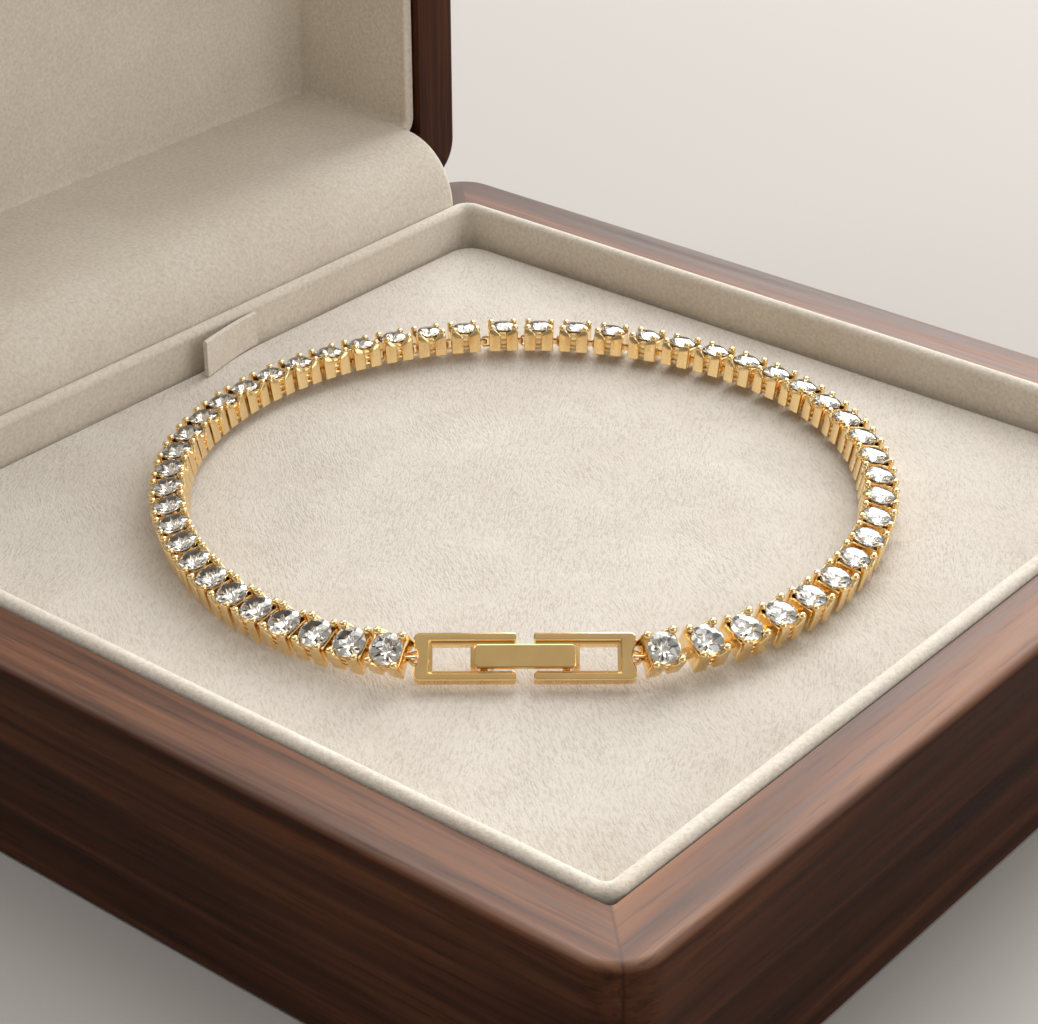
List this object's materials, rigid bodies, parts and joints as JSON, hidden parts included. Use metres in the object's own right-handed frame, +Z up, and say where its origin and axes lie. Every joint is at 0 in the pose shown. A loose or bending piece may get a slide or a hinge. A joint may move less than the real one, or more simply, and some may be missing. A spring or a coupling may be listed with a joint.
{
  "type": "tennis bracelet in a lined wooden presentation box",
  "caption": "Fastened line bracelet of prong-set round stones with a flat frame clasp, lying on the pad of an open, lined, hinged wooden box.",
  "frame": {"origin": "centre of the flat underside of the box", "axes": "+Z up, +Y towards the hinge and the open lid, +X to the right seen from the front; the clasp faces the corner at -X and -Y"},
  "size_m": [0.095, 0.1156, 0.1134],
  "materials": {
    "walnut": "oiled dark walnut with a satin sheen",
    "velvet": "cream short-pile plush",
    "lining": "beige suede cloth",
    "gold": "polished yellow gold",
    "set_stones": "polished yellow gold settings with clear round brilliant stones",
    "hinge": "satin brass"
  },
  "bodies": {
    "box": {"base_frame": "walnut", "base_lining": "lining", "pad": "velvet", "pull_tab": "lining", "hinge_cover": "lining", "hinge_barrel": "hinge", "link_run_left": "set_stones", "link_run_right": "set_stones", "clasp_frame_left": "gold", "clasp_frame_right": "gold"},
    "lid": {"lid_frame": "walnut", "lid_lining": "lining"},
    "tongue": {"clasp_tongue": "gold"}
  },
  "joints": [
    {"name": "lid_hinge", "type": "hinge", "parent": "box", "child": "lid", "pos_m": [0, 0.0475, 0.0184], "axis": [1, 0, 0], "range_deg": [0, 90], "deforming": ["hinge_cover"]},
    {"name": "tongue_hinge", "type": "hinge", "parent": "box", "child": "tongue", "pos_m": [-0.02237, -0.01469, 0.01694], "axis": [-0.5911, -0.4873, -0.6428], "range_deg": [0, 100]}
  ]
}
